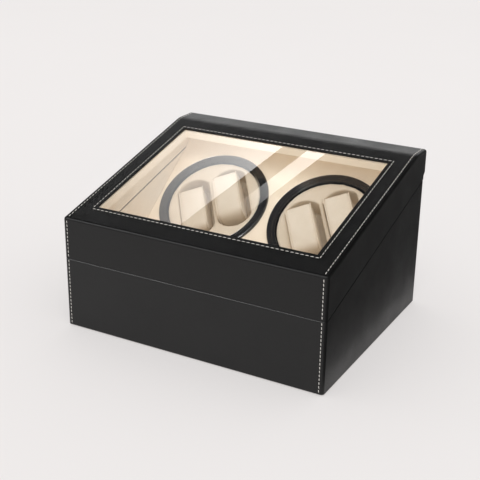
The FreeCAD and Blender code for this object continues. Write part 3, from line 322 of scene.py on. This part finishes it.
def side_loop(length, height, radius, count):
    """Evenly spaced (along, up, outward normal) around a rounded rectangle that stands on 0."""
    flat, upright, arc = length - 2 * radius, height - 2 * radius, math.pi * radius / 2
    corner = [(flat / 2, height - radius), (flat / 2, radius),
              (-flat / 2, radius), (-flat / 2, height - radius)]
    loop = []
    for index in range(count):
        walked = index / count * (2 * flat + 2 * upright + 4 * arc)
        for side in range(4):
            run = flat if side % 2 == 0 else upright
            heading = math.pi / 2 - side * math.pi / 2
            if walked < run + arc:
                break
            walked -= run + arc
        centre = Vector(corner[side])
        if walked < run:
            outward = Vector((math.cos(heading), math.sin(heading)))
            back = Vector((-outward.y, outward.x)) * (run - walked)
            loop.append((centre + outward * radius + back, outward))
        else:
            angle = heading - (walked - run) / radius
            outward = Vector((math.cos(angle), math.sin(angle)))
            loop.append((centre + outward * radius, outward))
    return loop


def pillow_shell(width, length, height, radius):
    """A closed cushion: a band wrapped round the side view, and a panel sewn in on each side."""
    count, half = 4 * round(length / MM / 6) + 20, width / 2
    loop = side_loop(length, height, radius, count)
    middle = Vector((0, height / 2))
    bands = max(6, round(width / MM / 4.2))
    rings = [(-half, shrink) for shrink in (0.22, 0.45, 0.66, 0.84)]
    rings += [(-half + width * step / bands, 1) for step in range(bands + 1)]
    rings += [(half, shrink) for shrink in (0.84, 0.66, 0.45, 0.22)]
    points, faces = [], []
    for x, shrink in rings:
        for spot, _ in loop:
            at = middle + (spot - middle) * shrink
            points.append((x, at.x, at.y))
    for ring in range(len(rings) - 1):
        for index in range(count):
            near, far = ring * count, (ring + 1) * count
            after = (index + 1) % count
            faces.append((near + index, far + index, far + after, near + after))
    for first, x in ((0, -half), ((len(rings) - 1) * count, half)):
        points.append((x, middle.x, middle.y))
        for index in range(count):
            edge = (first + index, first + (index + 1) % count)
            faces.append((len(points) - 1, *(edge if x < 0 else reversed(edge))))
    mesh = bpy.data.meshes.new("pillow_shell")
    mesh.from_pydata(points, [], faces)
    return mesh, count, bands


def swell(mesh, most):
    """Blows the shell up as cloth under pressure, then keeps its shape within the given distance."""
    shell = bpy.data.objects.new("swelling", mesh)
    bpy.context.scene.collection.objects.link(shell)
    cloth_run = shell.modifiers.new("cloth", "CLOTH")
    cloth_run.settings.use_pressure = True
    cloth_run.settings.uniform_pressure_force = 4
    cloth_run.settings.effector_weights.gravity = 0
    cloth_run.point_cache.frame_end = 20
    for number in range(1, 21):
        bpy.context.scene.frame_set(number)
    swollen = shell.evaluated_get(bpy.context.evaluated_depsgraph_get()).data
    moves = [after.co - before.co for before, after in zip(mesh.vertices, swollen.vertices)]
    share = most / max(move.length for move in moves)
    for vertex, move in zip(mesh.vertices, moves):
        vertex.co = vertex.co + move * min(1, share)
    bpy.data.objects.remove(shell)
    bpy.context.scene.frame_set(1)


def add_tube(points, faces, path, outwards, radius, sides=8):
    """Adds a closed round tube along the path, whose turns lie across X."""
    first = len(points)
    for spot, outward in zip(path, outwards):
        for side in range(sides):
            angle = 2 * math.pi * side / sides
            sideways = Vector((radius * math.sin(angle), 0, 0))
            points.append(spot + outward * radius * math.cos(angle) + sideways)
    for index in range(len(path)):
        near, far = first + index * sides, first + (index + 1) % len(path) * sides
        for side in range(sides):
            after = (side + 1) % sides
            faces.append((near + side, near + after, far + after, far + side))


def make_pillow_form(width, length, height, radius):
    """Swollen shell, seams drawn in beside the piping, and the piping itself, on z = 0."""
    room = 1.4 * MM
    shell, count, bands = pillow_shell(width - 2 * room, length - 2 * room, height - room, radius)
    swell(shell, 1.3 * MM)
    points = [vertex.co.copy() for vertex in shell.vertices]
    faces = [tuple(face.vertices) for face in shell.polygons]
    middle = Vector((0, 0, height / 2))
    seams = (4, 4 + bands)
    piping = []
    for ring in seams:
        path = points[ring * count:(ring + 1) * count]
        outwards = []
        for index, spot in enumerate(path):
            along = path[(index + 1) % count] - path[index - 1]
            outward = Vector((0, along.z, -along.y)).normalized()
            outwards.append(outward if outward.dot(spot - middle) > 0 else -outward)
        piping.append((path, outwards))
    for (path, outwards), ring in zip(piping, seams):
        sideways = 1 if ring == 4 else -1
        for index in range(count):
            points[ring * count + index] = path[index] - outwards[index] * 0.7 * MM
            points[(ring + sideways) * count + index] += outwards[index] * 0.15 * MM
        add_tube(points, faces, [spot - outward * 0.25 * MM for spot, outward in zip(path, outwards)],
                 outwards, 0.75 * MM)
    for point in points:
        point.z = max(point.z, 0.15 * MM)
    bpy.data.meshes.remove(shell)
    return points, faces


def make_pillow(name, form, place, body, seed):
    """One cushion of the form, with its own slight creases."""
    points, faces = form
    offset = Vector((seed * 3.1, seed * 1.7, 0))
    mesh = bpy.data.meshes.new(name)
    creased = []
    for point in points:
        crease = noise.noise(point * 38 + offset) * 0.45 + noise.noise(point * 110 + offset) * 0.12
        creased.append(point + (point - Vector((0, 0, 0.02))).normalized() * crease * MM)
    mesh.from_pydata(creased, [], faces)
    mesh.transform(place)
    pillow = linked(name, smooth(mesh), "cream_pillow", body)
    pillow.modifiers.new("finer", "SUBSURF").render_levels = 1
    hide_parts(name.removesuffix("_cushion"))


def make_pillows():
    forms = {"small": make_pillow_form(34 * MM, 70 * MM, 31 * MM, 8 * MM),
             "full": make_pillow_form(34 * MM, 70 * MM, 40 * MM, 8 * MM),
             "spare": make_pillow_form(46 * MM, 92 * MM, 46 * MM, 16 * MM)}
    seed = 0
    for name in SIDES:
        for end, sign in SIDES.items():
            node = f"winder_pillow_{name}_{end}"
            form = forms["small" if (name, end) == ("left", "left") else "full"]
            place = (DECK[name] @ Matrix.Rotation(POCKET_TURN, 4, "Z")
                     @ Matrix.Translation((sign * POCKET_ASIDE + PILLOW_ASIDE, PILLOW_DOWN, -POCKET_DEPTH)))
            seed += 1
            make_pillow(f"{node}_cushion", form, place, node, seed)
    for number in range(1, 7):
        node = f"storage_pillow_{number}"
        low, high = (Vector(corner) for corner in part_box(node))
        place = Matrix.Translation(((low.x + high.x) / 2, (low.y + high.y) / 2, low.z))
        make_pillow(f"{node}_cushion", forms["spare"], place, node, 10 + number)


# ---------------------------------------------------------------- padded blocks of the turntables

def beyond_pocket(spot):
    """How far a point on the block's face lies outside the nearer pocket."""
    across = spot.x * math.cos(POCKET_TURN) + spot.y * math.sin(POCKET_TURN)
    along = abs(spot.y * math.cos(POCKET_TURN) - spot.x * math.sin(POCKET_TURN))
    aside = abs(abs(across) - POCKET_ASIDE)
    end = math.hypot(aside, max(0, along - POCKET_REACH + POCKET_END)) - POCKET_END
    return max(aside - POCKET_HALF, end if along > POCKET_REACH - POCKET_END else -1)


def make_pocket_block(name):
    """Foam block in its cover: soft rims round the pockets, and a face that swells between them."""
    node = f"pocket_block_{name}"
    copy = bpy.data.objects.new("remeshed", NODES[node].data.copy())
    bpy.context.scene.collection.objects.link(copy)
    remesh = copy.modifiers.new("voxels", "REMESH")
    remesh.mode, remesh.voxel_size = "VOXEL", 1.2 * MM
    mesh = bpy.data.meshes.new_from_object(copy.evaluated_get(bpy.context.evaluated_depsgraph_get()))
    bpy.data.objects.remove(copy)
    form = bmesh.new()
    form.from_mesh(mesh)
    for _ in range(5):
        bmesh.ops.smooth_vert(form, verts=form.verts, factor=0.5, use_axis_x=True, use_axis_y=True,
                              use_axis_z=True)
    into = DECK[name].inverted()
    for vertex in form.verts:
        spot = into @ vertex.co
        if spot.z < -3 * MM:
            continue
        rim = max(0, beyond_pocket(spot)) / (6 * MM)
        edge = max(0, BLOCK_RADIUS - math.hypot(spot.x, spot.y)) / (5 * MM)
        spot.z += (1 - math.exp(-rim)) * (1 - math.exp(-edge)) * 1.3 * MM
        spot.z += noise.noise(spot * 45) * 0.25 * MM
        vertex.co = DECK[name] @ spot
    form.to_mesh(mesh)
    form.free()
    mesh.materials.clear()
    block = linked(f"{node}_padding", smooth(mesh), "cream_deck", f"turntable_{name}")
    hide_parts(node)


# ---------------------------------------------------------------- stitching

def add_stitch(points, faces, middle, along, outward, length, thick=0.42):
    """One thread stitch, in millimetres: an arched, tapered capsule whose ends sink into the leather."""
    across = along.cross(outward)
    first, sides = len(points), 6
    sections = ((-0.5, 0.3, -0.4), (-0.4, 0.85, -0.02), (0, 1, 0.14), (0.4, 0.85, -0.02), (0.5, 0.3, -0.4))
    for share, swelling, level in sections:
        centre = middle + along * (share * length) + outward * level
        for side in range(sides):
            angle = 2 * math.pi * side / sides
            ring = outward * (math.sin(angle) * 0.8) + across * math.cos(angle)
            points.append((centre + ring * thick * swelling) * MM)
    for section in range(len(sections) - 1):
        near, far = first + section * sides, first + (section + 1) * sides
        for side in range(sides):
            after = (side + 1) % sides
            faces.append((near + side, near + after, far + after, far + side))
    faces.append(tuple(range(first + sides - 1, first - 1, -1)))
    last = first + (len(sections) - 1) * sides
    faces.append(tuple(range(last, last + sides)))


def sew(points, faces, path, outwards, rough, pitch=5.8, length=4.2):
    """Stitches along a path of straight runs, slightly slanted as a machine leaves them."""
    walked = pitch / 2
    for (start, stop), outward in zip(zip(path, path[1:]), outwards):
        run = stop - start
        along = run.normalized()
        while walked < run.length:
            slant = Matrix.Rotation(math.radians(5 + rough.uniform(-2, 2)), 3, outward)
            add_stitch(points, faces, start + along * walked, slant @ along, outward, length)
            walked += pitch
        walked -= run.length


def top_height(y):
    return LID_FRONT_TOP + math.tan(TOP_ANGLE) * (y - FRONT_Y)


def over_the_top(x):
    """Path along the lid's top from its front edge, over the bend, to its back edge, and its normals."""
    tangent = BEND_RADIUS * math.tan(TOP_ANGLE / 2)
    bend = BEND_Y - tangent * math.cos(TOP_ANGLE)
    centre = Vector((x, BEND_Y + tangent, LID_TOP - BEND_RADIUS))
    start = FRONT_Y + SEAM_END
    path = [Vector((x, start, top_height(start))), Vector((x, bend, top_height(bend)))]
    turns = [TOP_ANGLE * (1 - step / 5) for step in range(1, 6)]
    path += [centre + Vector((0, -math.sin(turn), math.cos(turn))) * BEND_RADIUS for turn in turns]
    path.append(Vector((x, BACK_Y - SEAM_END, LID_TOP)))
    outwards = [Vector((0, -math.sin(turn), math.cos(turn))) for turn in [TOP_ANGLE, TOP_ANGLE, *turns]]
    return path, outwards


def make_stitching():
    rough = random.Random(11)
    outward = Vector((0, -math.sin(TOP_ANGLE), math.cos(TOP_ANGLE)))
    slope = Vector((0, math.cos(TOP_ANGLE), math.sin(TOP_ANGLE)))
    front = Vector((0, -109, top_height(-109)))
    corners = [front + slope * along + Vector((x, 0, 0))
               for x, along in ((-145, -5), (145, -5), (145, 202), (-145, 202), (-145, -5))]
    points, faces = [], []
    sew(points, faces, corners, [outward] * 4, rough)
    for sign in SIDES.values():
        sew(points, faces, *over_the_top(sign * TOP_SEAM_X), rough)
    forward = Vector((0, -1, 0))
    for sign in SIDES.values():
        x = sign * FRONT_SEAM_X
        seam = [Vector((x, FRONT_Y, 88.5)), Vector((x, FRONT_Y, 134.5))]
        sew(points, faces, seam, [forward], rough, FRONT_PITCH, FRONT_LENGTH)
    mesh = bpy.data.meshes.new("lid_stitching")
    mesh.from_pydata(points, [], faces)
    linked("lid_stitching", smooth(mesh), "thread", "lid")
    points, faces = [], []
    for sign in SIDES.values():
        x = sign * FRONT_SEAM_X
        seam = [Vector((x, FRONT_Y, SEAM_END)), Vector((x, FRONT_Y, 84.5))]
        sew(points, faces, seam, [forward], rough, FRONT_PITCH, FRONT_LENGTH)
    mesh = bpy.data.meshes.new("base_stitching")
    mesh.from_pydata(points, [], faces)
    linked("base_stitching", smooth(mesh), "thread", "base")


# ---------------------------------------------------------------- printed marks of the controls

def add_bar(points, faces, start, stop, width, rise):
    """A thin printed line on a face that looks backwards, along +Y."""
    along = (stop - start).normalized()
    across = Vector((along.z, 0, -along.x)) * width / 2
    first = len(points)
    for level in (0, rise):
        for spot in (start - across, start + across, stop + across, stop - across):
            points.append((spot + Vector((0, level, 0))) * MM)
    for face in ((0, 1, 2, 3), (7, 6, 5, 4), (0, 4, 5, 1), (1, 5, 6, 2), (2, 6, 7, 3), (3, 7, 4, 0)):
        faces.append(tuple(first + corner for corner in face))


def spoke(middle, turn, near, far):
    """Both ends of a line that points away from the middle, turned from upright."""
    heading = Vector((math.sin(turn), 0, math.cos(turn)))
    return middle + heading * near, middle + heading * far


def make_control_marks():
    """Pointer lines on the knobs and three index lines around each of them."""
    points, faces = [], []
    for name, x in KNOB_X.items():
        middle = Vector((x, PLATE_Y, KNOB_Z))
        for turn in (-90, 0, 90):
            add_bar(points, faces, *spoke(middle, math.radians(turn), 8.6, 10.4), 0.6, 0.04)
        pointer, sides = [], []
        add_bar(pointer, sides, *spoke(Vector((x, KNOB_FACE_Y, KNOB_Z)), 0, 2.4, 6.4), 0.9, 0.06)
        mesh = bpy.data.meshes.new(f"mode_knob_{name}_pointer")
        mesh.from_pydata(pointer, [], sides)
        linked(f"mode_knob_{name}_pointer", mesh, "thread", f"mode_knob_{name}")
    mesh = bpy.data.meshes.new("control_index_marks")
    mesh.from_pydata(points, [], faces)
    linked("control_index_marks", mesh, "thread", "base")


make_pillows()
for side_name in SIDES:
    make_pocket_block(side_name)
make_stitching()
make_control_marks()


# ---------------------------------------------------------------- floor, light and camera

def point_at(thing, place, target):
    thing.location = place
    thing.rotation_euler = (Vector(target) - Vector(place)).to_track_quat("-Z", "Y").to_euler()
    bpy.context.scene.collection.objects.link(thing)
    return thing


def make_floor():
    mesh = bpy.data.meshes.new("floor")
    reach = 12.0
    corners = [(-reach, -reach, 0), (reach, -reach, 0), (reach, reach, 0), (-reach, reach, 0)]
    mesh.from_pydata(corners, [], [(0, 1, 2, 3)])
    floor = bpy.data.objects.new("floor", mesh)
    floor.location.z = -0.05 * MM
    look = Finish("floor_look", Roughness=0.9, Specular_IOR_Level=0.1, Emission_Strength=0.43,
                  Emission_Color=(1.0, 0.975, 0.97, 1))
    grain = look.noise(3.0, 3)
    look.set(Base_Color=look.mix(grain, (0.385, 0.372, 0.370), (0.395, 0.382, 0.380)))
    mesh.materials.append(look.bump((look.noise(300, 3), 0.05)).material)
    bpy.context.scene.collection.objects.link(floor)


def make_world():
    """Pale to the camera, bright as fill light, and dim in reflections, as in a studio with black flags."""
    world = bpy.data.worlds.new("studio")
    world.use_nodes = True
    tree = world.node_tree
    tree.nodes.clear()
    rays = tree.nodes.new("ShaderNodeLightPath").outputs
    shade = background(tree, (0.98, 0.972, 0.962))
    for ray, colour in (("Is Glossy Ray", (0.03, 0.03, 0.031)), ("Is Camera Ray", (0.855, 0.847, 0.831))):
        blend = tree.nodes.new("ShaderNodeMixShader")
        tree.links.new(rays[ray], blend.inputs[0])
        tree.links.new(shade, blend.inputs[1])
        tree.links.new(background(tree, colour), blend.inputs[2])
        shade = blend.outputs[0]
    output = tree.nodes.new("ShaderNodeOutputWorld")
    tree.links.new(shade, output.inputs["Surface"])
    bpy.context.scene.world = world


def background(tree, colour):
    node = tree.nodes.new("ShaderNodeBackground")
    node.inputs["Color"].default_value = (*colour, 1)
    return node.outputs[0]


def make_lights():
    """A broad key sun for everything, and lamps that work on single materials."""
    sun = bpy.data.lights.new("key", "SUN")
    sun.energy, sun.angle, sun.color = 0.6, math.radians(34), (1.0, 0.985, 0.96)
    point_at(bpy.data.objects.new("key", sun), (0.7, -1.2, 2.2), (0, 0, 0.1))
    fill = bpy.data.lights.new("inside_fill", "SUN")
    fill.energy, fill.angle, fill.color, fill.use_shadow = 0.62, math.radians(20), (1.0, 0.97, 0.93), False
    lamp = point_at(bpy.data.objects.new("inside_fill", fill), (1.1, -1.6, 0.8), (0, 0, 0.1))
    cream = receivers("cream_inside", "base_lining", "lid_lining", "winder_deck", "glass_retainer",
                      "storage_partition")
    lamp.light_linking.receiver_collection = cream
    rear = bpy.data.lights.new("rear_fill", "AREA")
    rear.shape, rear.size, rear.size_y, rear.energy = "RECTANGLE", 0.27, 0.03, 0.062
    rear.color, rear.use_shadow = (1.0, 0.97, 0.93), False
    lamp = point_at(bpy.data.objects.new("rear_fill", rear), (0.0, -0.03, 0.225), (0, 0.125, 0.165))
    lamp.visible_camera = False
    lamp.light_linking.receiver_collection = cream
    base_cover = receivers("base_leather_only", "base_leather_cover")
    lid_cover = receivers("lid_leather_only", "lid_leather_cover")
    rings = receivers("rings_only", "bezel_ring_left", "bezel_ring_right")
    for name, place, size, energy, takers in (
            ("base_edge_light", (-0.95, -1.3, 1.45), (1.5, 0.35), 56, base_cover),
            ("lid_edge_light", (-0.95, -1.4, 1.35), (1.5, 0.35), 17, lid_cover),
            ("ring_light_left", (-1.1, 1.05, 0.65), (0.4, 0.3), 130, rings),
            ("ring_light_right", (0.6, -1.3, 1.1), (0.4, 0.3), 90, rings)):
        light = bpy.data.lights.new(name, "AREA")
        light.shape, light.size, light.size_y, light.energy = "RECTANGLE", *size, energy
        lamp = point_at(bpy.data.objects.new(name, light), place, (0, 0, 0.12))
        light.use_shadow = takers is not rings
        lamp.visible_camera = False
        lamp.light_linking.receiver_collection = takers


def receivers(name, *nodes):
    """The CAD nodes that a linked lamp or panel works on."""
    collection = bpy.data.collections.new(name)
    for node in nodes:
        collection.objects.link(NODES[node])
    return collection


def seen_only_in_gloss(thing):
    for ray in ("camera", "diffuse", "transmission", "volume_scatter", "shadow"):
        setattr(thing, f"visible_{ray}", False)


def make_panel(name, centre, target, size, strength, fade):
    """A panel seen only in reflections, whose light rises from one end and side over the shares in fade."""
    mesh = bpy.data.meshes.new(name)
    half_x, half_y = size[0] / 2, size[1] / 2
    corners = [(-half_x, -half_y, 0), (half_x, -half_y, 0), (half_x, half_y, 0), (-half_x, half_y, 0)]
    mesh.from_pydata(corners, [], [(0, 1, 2, 3)])
    panel = bpy.data.objects.new(name, mesh)
    look = Finish(name + "_look")
    glow = look.tree.nodes.new("ShaderNodeEmission")
    axes = look.axes()
    level = look.math("MULTIPLY", look.remap(axes["X"], -half_x, -half_x + fade[0] * size[0]),
                      look.remap(axes["Y"], -half_y, -half_y + fade[1] * size[1]))
    look.feed(glow.inputs["Strength"], look.math("MULTIPLY", look.math("POWER", level, 0.8), strength))
    look.tree.links.new(glow.outputs[0], look.output.inputs["Surface"])
    mesh.materials.append(look.material)
    point_at(panel, centre, target)
    seen_only_in_gloss(panel)
    return panel


def make_reflections():
    """Two long softboxes that only the glass shows, a low panel behind the box, and a flag beside it."""
    glass_only = receivers("glass_only", "glass_pane")
    middle = Vector((-0.691, 0.853, 1.183))
    aim = Vector((-0.005, -0.014, 0.168))
    facing = (middle - aim).normalized()
    level = facing.cross(Vector((0, 0, 1))).normalized()
    raised = level.cross(facing)
    along = (level * -0.94 + raised * 0.34).normalized()
    across = along.cross(facing)
    if across.dot(raised) < 0:
        across = -across
    for name, start, stop, low, high, strength, fade in (
            ("broad_softbox", -0.50, 0.36, -0.45, -0.0126, 5.0, (0.55, 0.95)),
            ("narrow_softbox", -0.50, 0.04, 0.0353, 0.071, 4.5, (0.4, 0.01))):
        centre = middle + along * (start + stop) / 2 + across * (low + high) / 2
        panel = make_panel(name, centre, centre - facing, (stop - start, high - low), strength, fade)
        panel.rotation_euler = Matrix((-along, across, (-along).cross(across))).transposed().to_euler()
        panel.light_linking.receiver_collection = glass_only
    make_panel("rear_panel", (-0.85, 2.05, 0.84), (0, 0.1, 0.2), (2.9, 0.5), 3.6, (0.02, 0.4))
    flag_mesh = bpy.data.meshes.new("side_flag")
    flag_mesh.from_pydata([(0.19, -0.35, 0.001), (1.6, -0.35, 0.001), (1.6, 1.2, 0.001), (0.19, 1.2, 0.001)],
                          [], [(0, 1, 2, 3)])
    flag = bpy.data.objects.new("side_flag", flag_mesh)
    flag_mesh.materials.append(Finish("flag_look", Base_Color=(0.09, 0.09, 0.09), Roughness=1.0).material)
    bpy.context.scene.collection.objects.link(flag)
    seen_only_in_gloss(flag)


def make_camera():
    camera = bpy.data.cameras.new("camera")
    camera.sensor_width, camera.lens, camera.clip_start = 36, 75.3, 0.05
    eye = bpy.data.objects.new("camera", camera)
    right, forward = Vector((0.8737, 0.4863, 0.0130)), Vector((-0.4474, 0.8137, -0.3711))
    up = right.cross(forward)
    turn = Matrix((right, up, -forward)).transposed().to_4x4()
    eye.matrix_world = Matrix.Translation((0.5321, -0.9889, 0.5439)) @ turn
    bpy.context.scene.collection.objects.link(eye)
    bpy.context.scene.camera = eye


make_floor()
make_world()
make_lights()
make_reflections()
make_camera()
bpy.context.scene.view_settings.view_transform = "Standard"
